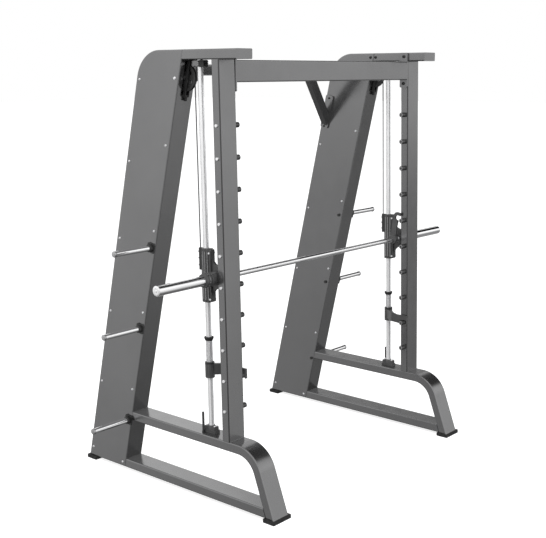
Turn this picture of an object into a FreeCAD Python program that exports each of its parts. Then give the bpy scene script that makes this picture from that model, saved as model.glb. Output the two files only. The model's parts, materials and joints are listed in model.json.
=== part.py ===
import FreeCAD, Part
import math
import os

# Smith machine, millimetres. X across, front is -Y, Z up. Built for x > 0 and mirrored.

V = FreeCAD.Vector

# Side frame
SIDE_IN = 730.0
SIDE_OUT = 842.0
SIDE_MID = 786.0
TUBE_THIN = 48.0
WALL = 3.0
CORNER = 6.0
PAD = 18.0
PAD_IN = 720.0
PAD_OUT = 852.0
HALF_DEPTH = 697.0
LOW_TOP = PAD + TUBE_THIN
RAIL_LOW = 300.0
RAIL_TOP = 348.0
POST_FOOT_Y = -693.5
POST_SLOPE = 0.37
BEND = 162.0

# Column: upright, pegs and guide rod lean back slightly
COLUMN_LEAN = 1.3
ROD_FOOT_Y = -236.0
ROD_R = 14.0
UPRIGHT_FRONT = -174.0
UPRIGHT_BACK = -126.0
TOP_UNDER = 2196.0
TOP = 2244.0
TOP_FRONT_Y = -470.0
PEG_R = 13.5
PEG_LENGTH = 35.0
PEG_T = -150.0
PEG_TOP_Z = 1891.0
PEG_PITCH = 154.4
PEG_COUNT = 10

# Tower
TOWER_LEAN = 12.95
TOWER_FOOT_Y = 389.4
TOWER_DEPTH = 292.0
TOWER_ROUND = 160.0
COVER_DEEP = 10.0
SHEET = 3.0
CABLE_P = 62.0
GUIDE_P = 100.0
COUNTER_LOW = 1078.0
COUNTER_TOP = 1410.0
GUIDE_R = 7.0
GUIDE_X = (756.0, 816.0)
GUIDE_LOW = 80.0
GUIDE_TOP = 1960.0
HORNS = ((126.0, 1262.0), (227.0, 824.0), (339.0, 300.0))
HORN_R = 14.0
HORN_FOOT = 865.0
HORN_END = 1092.0
REAR_BEAM_LOW = 2128.0
BRACE_BOLTS = ((260.0, 1796.0), (260.0, 1971.0))

# Pulley and cable
PULLEY_Y = -92.0
PULLEY_Z = 2112.0
PULLEY_R = 66.0
CABLE_RADIUS = 58.0
CABLE_R = 3.0
AXLE_R = 8.0

# Carriage
HOUSING_R = 20.5
HOUSING_LOW = 1023.0
HOUSING_TOP = 1290.0
HOUSING_FRONT = -30.0
HOUSING_BACK = 19.0
FLANGE_FRONT = -42.0
WEB_ROOT = -36.0
SLIDE_BEARING_R = 16.5
BEARING_R = 20.0
BOSS_IN = 752.0
BOSS_OUT = 862.0
ANCHOR_T = 38.0

# Bar
BAR_Y = -294.0
BAR_Z = 1154.3
BAR_R = 14.0
SLEEVE_R = 25.0
SLEEVE_IN = 865.0
SLEEVE_OUT = 1202.0
HOOK_IN = 712.0
HOOK_OUT = 724.0
HOOK_REST = 16.0
SLOT_R = 15.5
BEAK_R = 167.0

# Safety stop
STOP_LOW = 636.0
STOP_TOP = 706.0
SEAT_TOP = 716.0
BUMPER_TALL = 18.0
BUMPER_TOP_LEFT = 844.0
BUMPER_TOP_RIGHT = 814.0
STOP_PEG = 9
SWING_ROOM = 14.0


def save(name, shape):
    shape.exportStep("parts/" + name + ".step")


def mirrored(shape):
    return shape.mirror(V(0, 0, 0), V(1, 0, 0))


def save_pair(name, shape):
    save(name + "_right", shape)
    save(name + "_left", mirrored(shape))


def save_group(name, shapes):
    save(name, Part.makeCompound(shapes + [mirrored(s) for s in shapes]))


def box(x0, x1, y0, y1, z0, z1):
    return Part.makeBox(x1 - x0, y1 - y0, z1 - z0, V(x0, y0, z0))


def rod(start, end, radius):
    return Part.makeCylinder(radius, (end - start).Length, start, end - start)


def rod_x(x0, x1, y, z, radius):
    return rod(V(x0, y, z), V(x1, y, z), radius)


def prism(points, x0, x1):
    wire = Part.makePolygon([V(x0, y, z) for y, z in points + points[:1]])
    return Part.Face(wire).extrude(V(x1 - x0, 0, 0))


def edges_along(shape, axis, test):
    """Straight edges parallel to the axis whose middle point passes the test."""
    found = []
    for edge in shape.Edges:
        start = edge.Vertexes[0].Point
        span = edge.Vertexes[-1].Point - start
        if span.Length < 1e-6 or not test(start + span * 0.5):
            continue
        if abs(span.dot(axis)) > 0.999 * span.Length:
            found.append(edge)
    return found


def edges_on_x(shape, x):
    return [e for e in shape.Edges if e.BoundBox.XLength < 1e-3 and abs(e.BoundBox.XMin - x) < 1e-3]


def rounded_box(x0, x1, y0, y1, z0, z1, axis, radius):
    block = box(x0, x1, y0, y1, z0, z1)
    return block.makeFillet(radius, edges_along(block, axis, lambda p: True))


def tube(x0, x1, y0, y1, z0, z1, axis):
    """Rectangular tube along the axis, open at both ends."""
    skin = rounded_box(x0, x1, y0, y1, z0, z1, axis, CORNER)
    inset = V(WALL, WALL, WALL) - axis * (WALL + 1.0)
    x0 += inset.x
    x1 -= inset.x
    y0 += inset.y
    y1 -= inset.y
    z0 += inset.z
    z1 -= inset.z
    return skin.cut(rounded_box(x0, x1, y0, y1, z0, z1, axis, CORNER - WALL))


def clip_z(shape, low, high):
    return shape.common(box(-1500, 1500, -1500, 1500, low, high))


def column(shape):
    """Column frame: y is the distance behind the rod axis, z runs up the rod."""
    moved = shape.copy()
    moved.rotate(V(0, 0, 0), V(1, 0, 0), -COLUMN_LEAN)
    moved.translate(V(0, ROD_FOOT_Y, 0))
    return moved


def column_point(x, t, s):
    lean = math.radians(COLUMN_LEAN)
    y = ROD_FOOT_Y + t * math.cos(lean) + s * math.sin(lean)
    return V(x, y, s * math.cos(lean) - t * math.sin(lean))


def column_height(t, z):
    lean = math.radians(COLUMN_LEAN)
    return (z + t * math.sin(lean)) / math.cos(lean)


def tower(shape):
    """Tower frame: y is the depth behind the tower's front, z runs up its lean."""
    moved = shape.copy()
    moved.rotate(V(0, 0, 0), V(1, 0, 0), TOWER_LEAN)
    moved.translate(V(0, TOWER_FOOT_Y, 0))
    return moved


def tower_y(p, z):
    lean = math.radians(TOWER_LEAN)
    return TOWER_FOOT_Y + p / math.cos(lean) - z * math.tan(lean)


def tower_place(y, z):
    lean = math.radians(TOWER_LEAN)
    back = y - TOWER_FOOT_Y
    return back * math.cos(lean) + z * math.sin(lean), z * math.cos(lean) - back * math.sin(lean)


def peg_z(number):
    return PEG_TOP_Z - PEG_PITCH * (number - 1)


def peg_point(x, number):
    return column_point(x, PEG_T, column_height(PEG_T, peg_z(number)))


# ---- Base ----

def foot_pads():
    front = box(PAD_IN, PAD_OUT, -HALF_DEPTH, -625.0, 0, PAD)
    rear = box(PAD_IN, PAD_OUT, 621.0, HALF_DEPTH, 0, PAD)
    pads = []
    for pad in (front, rear):
        pads.append(pad.makeFillet(4.0, edges_along(pad, V(0, 0, 1), lambda p: True)))
    save_group("foot_pads", pads)


def post_y(z, offset):
    slant = math.sqrt(1.0 + POST_SLOPE ** 2)
    return POST_FOOT_Y + POST_SLOPE * z + offset * slant


def upper_band(inset, x0, x1, low, back):
    high = RAIL_TOP - inset
    under = RAIL_LOW + inset
    points = [
        (post_y(low, inset), low),
        (post_y(high, inset), high),
        (tower_y(back, high), high),
        (tower_y(back, under), under),
        (post_y(under, TUBE_THIN - inset), under),
        (post_y(low, TUBE_THIN - inset), low),
    ]
    band = prism(points, x0, x1)
    outer = edges_along(band, V(1, 0, 0), lambda p: abs(p.y - points[1][0]) < 1 and abs(p.z - high) < 1)
    band = band.makeFillet(BEND - inset, outer)
    inner = edges_along(band, V(1, 0, 0), lambda p: abs(p.y - points[4][0]) < 1 and abs(p.z - under) < 1)
    return band.makeFillet(BEND - TUBE_THIN + inset, inner)


def base_rails():
    band = upper_band(0, SIDE_IN, SIDE_OUT, PAD, 0)
    ends = []
    for edge in edges_on_x(band, SIDE_IN) + edges_on_x(band, SIDE_OUT):
        centre = edge.BoundBox.Center
        at_foot = edge.BoundBox.ZLength < 1e-3 and abs(centre.z - PAD) < 1e-3
        at_tower = abs(centre.y - tower_y(0, 324.0)) < 2.0
        if not at_foot and not at_tower:
            ends.append(edge)
    band = band.makeFillet(CORNER, ends)
    core = upper_band(WALL, SIDE_IN + WALL, SIDE_OUT - WALL, PAD - 5.0, 5.0)
    save_pair("base_upper_rail", band.cut(core))
    lower = tube(SIDE_IN, SIDE_OUT, -680.0, 420.0, PAD, LOW_TOP, V(0, 1, 0))
    room = prism(
        [
            (post_y(0, TUBE_THIN), 0),
            (post_y(100, TUBE_THIN), 100),
            (tower_y(0, 100), 100),
            (tower_y(0, 0), 0),
        ],
        700.0,
        900.0,
    )
    save_pair("base_lower_rail", lower.common(room))


# ---- Column ----

def uprights():
    post = tube(SIDE_IN, SIDE_OUT, UPRIGHT_FRONT, UPRIGHT_BACK, 300.0, 2250.0, V(0, 0, 1))
    post = clip_z(column(post), RAIL_TOP, TOP_UNDER)
    holes = []
    pegs = []
    bolts = []
    for number in range(1, PEG_COUNT + 1):
        at = peg_point(0, number)
        holes.append(rod_x(SIDE_IN - 5, SIDE_OUT + 5, at.y, at.z, 6.2))
        peg = rod_x(SIDE_IN - PEG_LENGTH, SIDE_IN, at.y, at.z, PEG_R)
        peg = peg.makeChamfer(1.5, edges_on_x(peg, SIDE_IN - PEG_LENGTH))
        pegs.append(peg.cut(rod_x(SIDE_IN - 20, SIDE_IN + 1, at.y, at.z, 6.0)))
        shank = rod_x(SIDE_IN - 20, SIDE_OUT + 1, at.y, at.z, 6.0)
        head = rod_x(SIDE_OUT, SIDE_OUT + 7, at.y, at.z, 8.0)
        bolts.append(shank.fuse(head.makeFillet(2.0, edges_on_x(head, SIDE_OUT + 7))).removeSplitter())
    save_pair("upright", post.cut(Part.makeCompound(holes)))
    save_group("rack_pegs", pegs)
    save_group("peg_bolts", bolts)


def guide_rods():
    bar = column(Part.makeCylinder(ROD_R, 2300.0, V(SIDE_MID, 0, 0)))
    save_pair("guide_rod", clip_z(bar, RAIL_TOP, TOP_UNDER))


def rod_mounts():
    bore = Part.makeCylinder(ROD_R, 2400.0, V(SIDE_MID, 0, 0))
    foot = rounded_box(SIDE_MID - 18, SIDE_MID + 18, -40, 40, 330.0, 386.0, V(0, 0, 1), 4.0)
    foot = clip_z(column(foot.cut(bore)), RAIL_TOP, 500.0)
    clamp = box(SIDE_MID - 16, SIDE_MID + 16, -38.0, -0.5, 2120.0, 2230.0).cut(bore)
    clamp = clip_z(column(clamp), TOP_UNDER - 35.0, TOP_UNDER)
    hanger = box(SIDE_MID - 15, SIDE_MID + 15, 0.5, 44.0, 2120.0, 2230.0).cut(bore)
    hanger = clip_z(column(hanger), TOP_UNDER - 30.0, TOP_UNDER)
    stud = column(Part.makeCylinder(4.0, 120.0, V(SIDE_MID + 23.0, 36.0, 325.0)))
    stud = clip_z(stud, RAIL_TOP, 500.0)
    parts = [foot, clamp, hanger, stud]
    for t in (-28.0, 28.0):
        parts.append(column(Part.makeCylinder(7.0, 8.0, V(SIDE_MID, t, 386.0))))
    save_group("rod_mounts", parts)


# ---- Top ----

def top_rails():
    rail = tube(SIDE_IN, SIDE_OUT, TOP_FRONT_Y + SHEET, 0.0, TOP_UNDER, TOP, V(0, 1, 0))
    keep = prism(
        [
            (TOP_FRONT_Y, 2000),
            (TOP_FRONT_Y, 2300),
            (tower_y(0, 2300), 2300),
            (tower_y(0, 2000), 2000),
        ],
        700.0,
        900.0,
    )
    rail = rail.common(keep)
    cap = rounded_box(
        SIDE_IN, SIDE_OUT, TOP_FRONT_Y, TOP_FRONT_Y + SHEET, TOP_UNDER, TOP, V(0, 1, 0), CORNER
    )
    save_pair("top_rail", rail.fuse(cap).removeSplitter())


def front_crossbeam():
    beam = tube(-720.0, 720.0, -363.0, -315.0, 2090.0, 2194.0, V(1, 0, 0))
    plate = rounded_box(720.0, SIDE_IN, -363.0, -313.0, 2047.0, TOP, V(1, 0, 0), 8.0)
    save("front_crossbeam", Part.makeCompound([beam, plate, mirrored(plate)]))


def tower_crossbeams():
    front = tube(-720.0, 720.0, -97.0, -47.0, 2121.0, 2172.0, V(1, 0, 0))
    flange = rounded_box(720.0, SIDE_IN, -97.0, -47.0, 2098.0, 2184.0, V(1, 0, 0), 5.0)
    save("tower_crossbeam", Part.makeCompound([front, flange, mirrored(flange)]))
    rear = tower(tube(-720.0, 720.0, 225.0, 275.0, REAR_BEAM_LOW, 2174.0, V(1, 0, 0)))
    ends = tower(rounded_box(720.0, SIDE_IN, 221.0, 277.0, 2122.0, 2176.0, V(1, 0, 0), 5.0))
    save("rear_crossbeam", Part.makeCompound([rear, ends, mirrored(ends)]))


def brace_bar(half, depth_0, depth_1):
    """Slanting bar of the given half width, from the rear beam down to the tower."""
    top = V(466.0, depth_0, REAR_BEAM_LOW)
    low = V(720.0, depth_0, 1842.0)
    along = (low - top).normalize()
    side = V(-along.z, 0, along.x) * half
    top -= along * 80.0
    low += along * 80.0
    corners = [top + side, low + side, low - side, top - side]
    face = Part.Face(Part.makePolygon(corners + corners[:1]))
    return face.extrude(V(0, depth_1 - depth_0, 0))


def knee_braces():
    brace = brace_bar(25.0, 240.0, 280.0).cut(brace_bar(25.0 - WALL, 240.0 + WALL, 280.0 - WALL))
    brace = brace.common(box(300, 720, 200, 300, 1500, REAR_BEAM_LOW))
    plate = rounded_box(720.0, SIDE_IN, 233.0, 288.0, 1786.0, 1988.0, V(1, 0, 0), 12.0)
    save_group("knee_braces", [tower(brace), tower(plate)])


# ---- Tower ----

def casing(inset, x0, x1):
    low = PAD + inset
    high = TOP - inset
    points = [
        (tower_y(inset, low), low),
        (tower_y(inset, high), high),
        (tower_y(TOWER_DEPTH - inset, high), high),
        (tower_y(TOWER_DEPTH - inset, low), low),
    ]
    body = prism(points, x0, x1)
    edge = edges_along(
        body, V(1, 0, 0), lambda p: abs(p.y - points[2][0]) < 1 and abs(p.z - high) < 1
    )
    return body.makeFillet(TOWER_ROUND - inset, edge)


def screw_spots():
    spots = []
    for z in (1785.0, 1350.0, 912.0, 477.0, 43.0):
        spots.append((tower_y(24.0, z), z))
    for z in (2104.0, 1694.0, 1288.0, 885.0, 475.0, 72.0):
        spots.append((tower_y(TOWER_DEPTH - 24.0, z), z))
    spots.append((tower_y(26.0, 2109.0), 2109.0))
    return spots


def tower_covers():
    pan = casing(0, SIDE_OUT - COVER_DEEP, SIDE_OUT)
    pan = pan.makeFillet(CORNER, edges_on_x(pan, SIDE_OUT))
    pan = pan.cut(casing(SHEET, SIDE_OUT - COVER_DEEP - 1, SIDE_OUT - SHEET))
    inner = casing(0, SIDE_IN, SIDE_IN + COVER_DEEP)
    inner = inner.makeFillet(CORNER, edges_on_x(inner, SIDE_IN))
    inner = inner.cut(casing(SHEET, SIDE_IN + SHEET, SIDE_IN + COVER_DEEP + 1))
    holes = [rod_x(700, 900, y, z, 3.2) for y, z in screw_spots()]
    horn_holes = [rod_x(700, 900, y, z, 6.2) for y, z in HORNS]
    cuts = Part.makeCompound(holes + horn_holes)
    save_pair("tower_outer_cover", pan.cut(cuts))
    save_pair("tower_inner_cover", inner.cut(cuts))
    heads = []
    for y, z in screw_spots():
        radius = 7.5 if z == 2109.0 else 5.5
        heads.append(screw(SIDE_OUT, 1, y, z, radius))
        if z < 2100.0:
            heads.append(screw(SIDE_IN, -1, y, z, radius))
    save_group("cover_screws", heads)


def screw(face, way, y, z, radius):
    head = rod_x(face, face + way * 5.0, y, z, radius)
    head = head.makeFillet(1.8, edges_on_x(head, face + way * 5.0))
    return head.fuse(rod_x(face - way * 9.0, face + way * 1.0, y, z, 3.0)).removeSplitter()


def tower_sheets():
    x0 = SIDE_IN + COVER_DEEP
    x1 = SIDE_OUT - COVER_DEEP
    ring = casing(0, x0, x1).cut(casing(SHEET, x0 - 1, x1 + 1))
    front = tower(box(x0 - 5, x1 + 5, -10.0, SHEET, -200.0, 2600.0))
    floor = box(x0 - 5, x1 + 5, -1000, 1000, 0, LOW_TOP)
    save_pair("tower_skin", ring.cut(front).cut(floor))
    plate = clip_z(tower(box(x0, x1, 0, SHEET, -100.0, 2500.0)), PAD, TOP)
    slot = box(SIDE_MID - 26, SIDE_MID + 26, -400, 0, 2030.0, 2190.0)
    save_pair("tower_front_plate", plate.cut(slot))


def tower_frames():
    x0 = SIDE_IN + COVER_DEEP + 1
    x1 = SIDE_OUT - COVER_DEEP - 1
    sill = tube(x0, x1, 200.0, 700.0, PAD, LOW_TOP, V(0, 1, 0))
    sill = sill.common(tower(box(700, 900, SHEET, TOWER_DEPTH - SHEET, -200, 400)))
    front = clip_z(tower(tube(x0, x1, 6.0, 42.0, -20.0, 2030.0, V(0, 0, 1))), LOW_TOP, 2600.0)
    rear = clip_z(tower(tube(x0, x1, 246.0, 286.0, -60.0, 2060.0, V(0, 0, 1))), LOW_TOP, 2600.0)
    parts = [sill, front, rear]
    for low in (GUIDE_LOW - 14.0, GUIDE_TOP):
        shelf = box(x0, x1, 42.0, 140.0, low, low + 14.0)
        if low > 1000:
            shelf = shelf.cut(Part.makeCylinder(15.0, 40.0, V(SIDE_MID, CABLE_P, low - 10)))
        parts.append(tower(shelf))
    for x in GUIDE_X:
        parts.append(tower(Part.makeCylinder(GUIDE_R, GUIDE_TOP - GUIDE_LOW, V(x, GUIDE_P, GUIDE_LOW))))
    cuts = Part.makeCompound([rod_x(700, 900, y, z, 6.2) for y, z in HORNS])
    save_pair("tower_frame", Part.makeCompound([p.cut(cuts) for p in parts]))


def weight_horns():
    horns = []
    bases = []
    for y, z in HORNS:
        p, q = tower_place(y, z)
        plate = rounded_box(SIDE_OUT, HORN_FOOT - 15.0, p - 25, p + 25, q - 24, q + 24, V(1, 0, 0), 5.0)
        collar = rod_x(SIDE_OUT, HORN_FOOT, y, z, 20.0)
        collar = collar.makeFillet(3.0, edges_on_x(collar, HORN_FOOT))
        bases.append(tower(plate).fuse(collar).removeSplitter())
        horn = rod_x(HORN_FOOT, HORN_END, y, z, HORN_R)
        horn = horn.makeFillet(3.0, edges_on_x(horn, HORN_END))
        horns.append(horn.cut(rod_x(HORN_FOOT, HORN_END - 8.0, y, z, HORN_R - 3.0)))
        bolt = rod_x(SIDE_IN - 6, SIDE_IN, y, z, 9.0).fuse(rod_x(SIDE_IN - 1, SIDE_OUT, y, z, 6.0))
        bases.append(bolt.removeSplitter())
    save_group("weight_horns", horns)
    save_group("horn_bases", bases)


# ---- Pulley, cable and counterweight ----

def pulley_wheels():
    half = 7.0
    web = 3.0
    lip = 5.2
    rim = PULLEY_R - 12.0
    groove = CABLE_RADIUS - CABLE_R - 0.4
    right = [
        (AXLE_R + 0.08, half + 1.2),
        (18.0, half + 1.2),
        (18.0, web),
        (rim - 2.0, web),
        (rim, half),
        (PULLEY_R, half),
        (PULLEY_R, lip),
        (groove, 3.2),
    ]
    profile = right + [(r, -x) for r, x in reversed(right)]
    wire = Part.makePolygon([V(SIDE_MID + b, PULLEY_Y, PULLEY_Z + a) for a, b in profile + profile[:1]])
    wheel = Part.Face(wire).revolve(V(SIDE_MID, PULLEY_Y, PULLEY_Z), V(1, 0, 0), 360)
    holes = []
    for turn in range(5):
        angle = math.radians(72 * turn)
        y = PULLEY_Y + 35.0 * math.cos(angle)
        z = PULLEY_Z + 35.0 * math.sin(angle)
        holes.append(rod_x(SIDE_MID - 20, SIDE_MID + 20, y, z, 10.0))
    save_pair("pulley_wheel", wheel.cut(Part.makeCompound(holes)))


def pulley_brackets():
    rise = tower_place(PULLEY_Y, PULLEY_Z)[1]
    parts = rod_x(SIDE_MID - 16.0, SIDE_MID + 16.0, PULLEY_Y, PULLEY_Z, AXLE_R)
    for x in (SIDE_MID - 13.0, SIDE_MID + 9.0):
        strap = rounded_box(x, x + 4.0, -18.0, 0.0, rise - 94.0, rise + 200.0, V(1, 0, 0), 8.0)
        lug = rounded_box(x, x + 4.0, -14.0, 20.0, rise - 30.0, rise + 30.0, V(1, 0, 0), 12.0)
        parts = parts.fuse(clip_z(tower(strap.fuse(lug)), 1900.0, TOP_UNDER))
    tie = box(SIDE_MID - 13.0, SIDE_MID + 13.0, -15.0, -3.0, rise - 93.0, rise - 82.0)
    stem = rounded_box(SIDE_MID - 6.0, SIDE_MID + 6.0, -15.0, -3.0, rise - 112.0, rise - 84.0, V(1, 0, 0), 4.0)
    save_group("pulley_brackets", [parts.fuse(tower(tie.fuse(stem))).removeSplitter()])


def cable_ends():
    column_lean = math.radians(COLUMN_LEAN)
    tower_lean = math.radians(TOWER_LEAN)
    centre = V(SIDE_MID, PULLEY_Y, PULLEY_Z)
    front = centre + V(0, -math.cos(column_lean), math.sin(column_lean)) * CABLE_RADIUS
    rear = centre + V(0, math.cos(tower_lean), math.sin(tower_lean)) * CABLE_RADIUS
    crown = centre + V(0, 0, CABLE_RADIUS)
    down_front = V(0, -math.sin(column_lean), -math.cos(column_lean))
    down_rear = V(0, math.sin(tower_lean), -math.cos(tower_lean))
    return front, crown, rear, down_front, down_rear


def cables():
    front, crown, rear, down_front, down_rear = cable_ends()
    foot = front + down_front * ((front.z - HOUSING_TOP) / math.cos(math.radians(COLUMN_LEAN)) - 0.4)
    weight_top = tower_point(SIDE_MID, CABLE_P, COUNTER_TOP + 25.0)
    hang = rear + down_rear * ((rear.z - weight_top.z) / math.cos(math.radians(TOWER_LEAN)) - 0.4)
    path = Part.Wire([
        Part.makeLine(foot, front),
        Part.Arc(front, crown, rear).toShape(),
        Part.makeLine(rear, hang),
    ])
    ring = Part.Wire([Part.makeCircle(CABLE_R, foot, front - foot)])
    save_pair("cable", path.makePipeShell([ring], True, True))


def tower_point(x, p, q):
    lean = math.radians(TOWER_LEAN)
    y = TOWER_FOOT_Y + p * math.cos(lean) - q * math.sin(lean)
    return V(x, y, p * math.sin(lean) + q * math.cos(lean))


def counterweights():
    block = box(SIDE_MID - 43.0, SIDE_MID + 43.0, 46.0, 126.0, COUNTER_LOW, COUNTER_TOP)
    block = block.makeChamfer(3.0, edges_along(block, V(0, 0, 1), lambda p: True))
    for x in GUIDE_X:
        block = block.cut(Part.makeCylinder(GUIDE_R + 0.5, 500.0, V(x, GUIDE_P, COUNTER_LOW - 50)))
    eye = Part.makeCylinder(9.0, 26.0, V(SIDE_MID, CABLE_P, COUNTER_TOP - 1.0))
    save_pair("counterweight", tower(block.fuse(eye).removeSplitter()))


# ---- Carriage ----

def carriage_housings():
    """Ribbed casting around the rod, with flutes down both sides."""
    low = column_height(0, HOUSING_LOW)
    high = column_height(0, HOUSING_TOP)
    x0 = SIDE_MID - HOUSING_R
    x1 = SIDE_MID + HOUSING_R
    body = rounded_box(x0, x1, HOUSING_FRONT, HOUSING_BACK, low, high, V(0, 0, 1), 5.0)
    body = body.cut(Part.makeCylinder(SLIDE_BEARING_R, 400.0, V(SIDE_MID, 0, low - 20)))
    flutes = []
    for t in (-21.5, -12.5, 12.5):
        for x in (x0 - 0.4, x1 + 0.4):
            flutes.append(Part.makeCylinder(3.0, high - low + 20, V(x, t, low - 10)))
    save_pair("carriage_housing", column(body.cut(Part.makeCompound(flutes))))


def bell_curve(start, through, end, x):
    return Part.Arc(V(x, *start), V(x, *through), V(x, *end)).toShape()


def carriage_brackets():
    """Flange on the housing, with a web that widens into the bar's boss."""
    low = HOUSING_LOW + 3.0
    high = HOUSING_TOP - 3.0
    x0 = SIDE_MID - 7.0
    flange = rounded_box(
        SIDE_MID - 16.0, SIDE_MID + 16.0, FLANGE_FRONT, HOUSING_FRONT, low, high, V(1, 0, 0), 4.0
    )
    upper = bell_curve((FLANGE_FRONT, 1260.0), (-52.0, 1228.0), (-96.0, 1206.0), x0)
    lower = bell_curve((-96.0, 1100.0), (-52.0, 1080.0), (FLANGE_FRONT, 1052.0), x0)
    front = Part.makeLine(V(x0, -96.0, 1206.0), V(x0, -96.0, 1100.0))
    root = [V(x0, t, z) for t, z in (
        (FLANGE_FRONT, 1052.0), (WEB_ROOT, 1052.0), (WEB_ROOT, 1260.0), (FLANGE_FRONT, 1260.0)
    )]
    back = Part.makePolygon(root).Edges
    web = Part.Face(Part.Wire([upper, front, lower] + back)).extrude(V(14.0, 0, 0))
    boss = rod_x(BOSS_IN, BOSS_OUT, BAR_Y, BAR_Z, 35.0)
    rims = edges_on_x(boss, BOSS_IN) + edges_on_x(boss, BOSS_OUT)
    body = column(flange.fuse(web)).fuse(boss.makeFillet(3.0, rims))
    body = body.cut(rod_x(700, 900, BAR_Y, BAR_Z, BEARING_R))
    save_pair("carriage_bracket", body.removeSplitter())
    bolts = []
    for z in (HOUSING_LOW + 17.0, HOUSING_TOP - 20.0):
        for way in (-1, 1):
            face = V(SIDE_MID + way * 16.0, -36.0, z)
            bolts.append(column(rod(face, face + V(way * 5.0, 0, 0), 4.8)))
    save_group("carriage_bolts", bolts)


def bearings():
    low = column_height(0, HOUSING_LOW)
    high = column_height(0, HOUSING_TOP)
    sleeves = []
    for foot in (low + 2.0, high - 72.0):
        ring = Part.makeCylinder(SLIDE_BEARING_R, 70.0, V(SIDE_MID, 0, foot))
        sleeves.append(column(ring.cut(Part.makeCylinder(ROD_R + 0.05, 80.0, V(SIDE_MID, 0, foot - 5)))))
    save_group("linear_bearings", sleeves)
    races = []
    for x in (BOSS_IN + 1.0, BOSS_OUT - 21.0):
        race = rod_x(x, x + 20.0, BAR_Y, BAR_Z, BEARING_R)
        races.append(race.cut(rod_x(x - 5, x + 25.0, BAR_Y, BAR_Z, BAR_R + 0.05)))
    save_group("bar_bearings", races)


def cable_anchors():
    high = column_height(ANCHOR_T, HOUSING_TOP)
    strap = rounded_box(
        SIDE_MID - 9.0, SIDE_MID + 9.0, HOUSING_BACK, 44.0, 1181.0, high, V(0, 0, 1), 3.0
    )
    save_group("cable_anchors", [column(strap)])


# ---- Bar ----

def bar_assembly():
    shaft = rod_x(-1196.0, 1196.0, BAR_Y, BAR_Z, BAR_R)
    save("bar_shaft", shaft)
    sleeve = rod_x(SLEEVE_IN, SLEEVE_OUT, BAR_Y, BAR_Z, SLEEVE_R)
    sleeve = sleeve.makeFillet(2.0, edges_on_x(sleeve, SLEEVE_OUT))
    ring = rod_x(SLEEVE_IN, SLEEVE_IN + 34.0, BAR_Y, BAR_Z, 34.0)
    ring = ring.makeFillet(4.0, edges_on_x(ring, SLEEVE_IN) + edges_on_x(ring, SLEEVE_IN + 34.0))
    sleeve = sleeve.fuse(ring)
    sleeve = sleeve.cut(rod_x(SLEEVE_IN - 1, 1196.0, BAR_Y, BAR_Z, BAR_R))
    hollow = rod_x(SLEEVE_IN + 12.0, 1184.0, BAR_Y, BAR_Z, SLEEVE_R - 4.0)
    save_pair("bar_sleeve", sleeve.cut(hollow).removeSplitter())


def bar_hooks():
    peg = peg_point(0, 5)
    reach = math.hypot(peg.y - BAR_Y, peg.z - BAR_Z)
    lean = math.degrees(math.atan2(BAR_Y - peg.y, peg.z - BAR_Z))
    rear = [(-20.0, 0.0), (-27.0, 60.0), (-28.0, reach + 4.0)]
    front = [(6.0, reach + 4.0), (5.0, 84.0), (16.0, 0.0)]
    arm = prism(rear + front, HOOK_IN, HOOK_OUT)
    crown = rod_x(HOOK_IN, HOOK_OUT, 0, 0, BEAK_R)
    crown = crown.common(box(HOOK_IN, HOOK_OUT, -28.0, 28.0, reach, 200.0))
    hook = arm.fuse(crown).fuse(rod_x(HOOK_IN, HOOK_OUT, 0, 0, 27.0)).removeSplitter()
    back = edges_along(hook, V(1, 0, 0), lambda p: abs(p.y + 28.0) < 0.5 and p.z > 150.0)
    hook = hook.makeFillet(20.0, back)
    slot = rod_x(HOOK_IN - 1, HOOK_OUT + 1, 0, 0, reach + SLOT_R)
    slot = slot.cut(rod_x(HOOK_IN - 2, HOOK_OUT + 2, 0, 0, reach - SLOT_R))
    slot = slot.common(box(HOOK_IN - 2, HOOK_OUT + 2, 0.0, 60.0, 60.0, 200.0))
    hook = hook.cut(slot).cut(rod_x(HOOK_IN - 1, HOOK_OUT + 1, 0, reach, SLOT_R))
    hook = hook.mirror(V(0, 0, 0), V(0, 1, 0))
    hook.rotate(V(0, 0, 0), V(1, 0, 0), lean - HOOK_REST)
    hook.translate(V(0, BAR_Y, BAR_Z))
    clear = column(box(HOOK_IN - 5, HOOK_OUT + 5, -400.0, PEG_T + PEG_R + 3.0, 900.0, 1600.0))
    hub = rod_x(704.0, 732.0, BAR_Y, BAR_Z, SLEEVE_R)
    hub = hub.makeFillet(2.0, edges_on_x(hub, 704.0) + edges_on_x(hub, 732.0))
    hook = hook.cut(clear).fuse(hub).cut(rod_x(700, 740, BAR_Y, BAR_Z, BAR_R))
    save_pair("bar_hook", hook.removeSplitter())


# ---- Safety stop ----

def stop_arm():
    """Bent arm in plan, cut to its side outline, with a notch that straddles the peg."""
    peg = column_height(PEG_T, peg_z(STOP_PEG))
    roof = peg + PEG_R + 2.0
    back = PEG_T + PEG_R + 2.0
    front = PEG_T - PEG_R - SWING_ROOM
    nose = front - 7.5
    plan = [
        (HOOK_OUT, nose),
        (HOOK_IN, nose),
        (HOOK_IN, -72.0),
        (SIDE_MID - 26.0, -6.0),
        (SIDE_MID - 6.0, -6.0),
        (SIDE_MID - 6.0, -20.0),
        (HOOK_OUT, -80.0),
    ]
    wire = Part.makePolygon([V(x, t, 600.0) for x, t in plan + plan[:1]])
    strip = Part.Face(wire).extrude(V(0, 0, 200.0))
    side = prism(
        [
            (0.0, 706.0),
            (-74.0, 706.0),
            (-104.0, 697.0),
            (nose, 694.0),
            (nose, peg - 8.0),
            (front, peg - 8.0),
            (front, roof),
            (back, roof),
            (back, 636.0),
            (-124.0, 646.0),
            (-86.0, 650.0),
            (0.0, 650.0),
        ],
        SIDE_IN - 40.0,
        SIDE_MID,
    )
    return strip.common(side)


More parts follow.
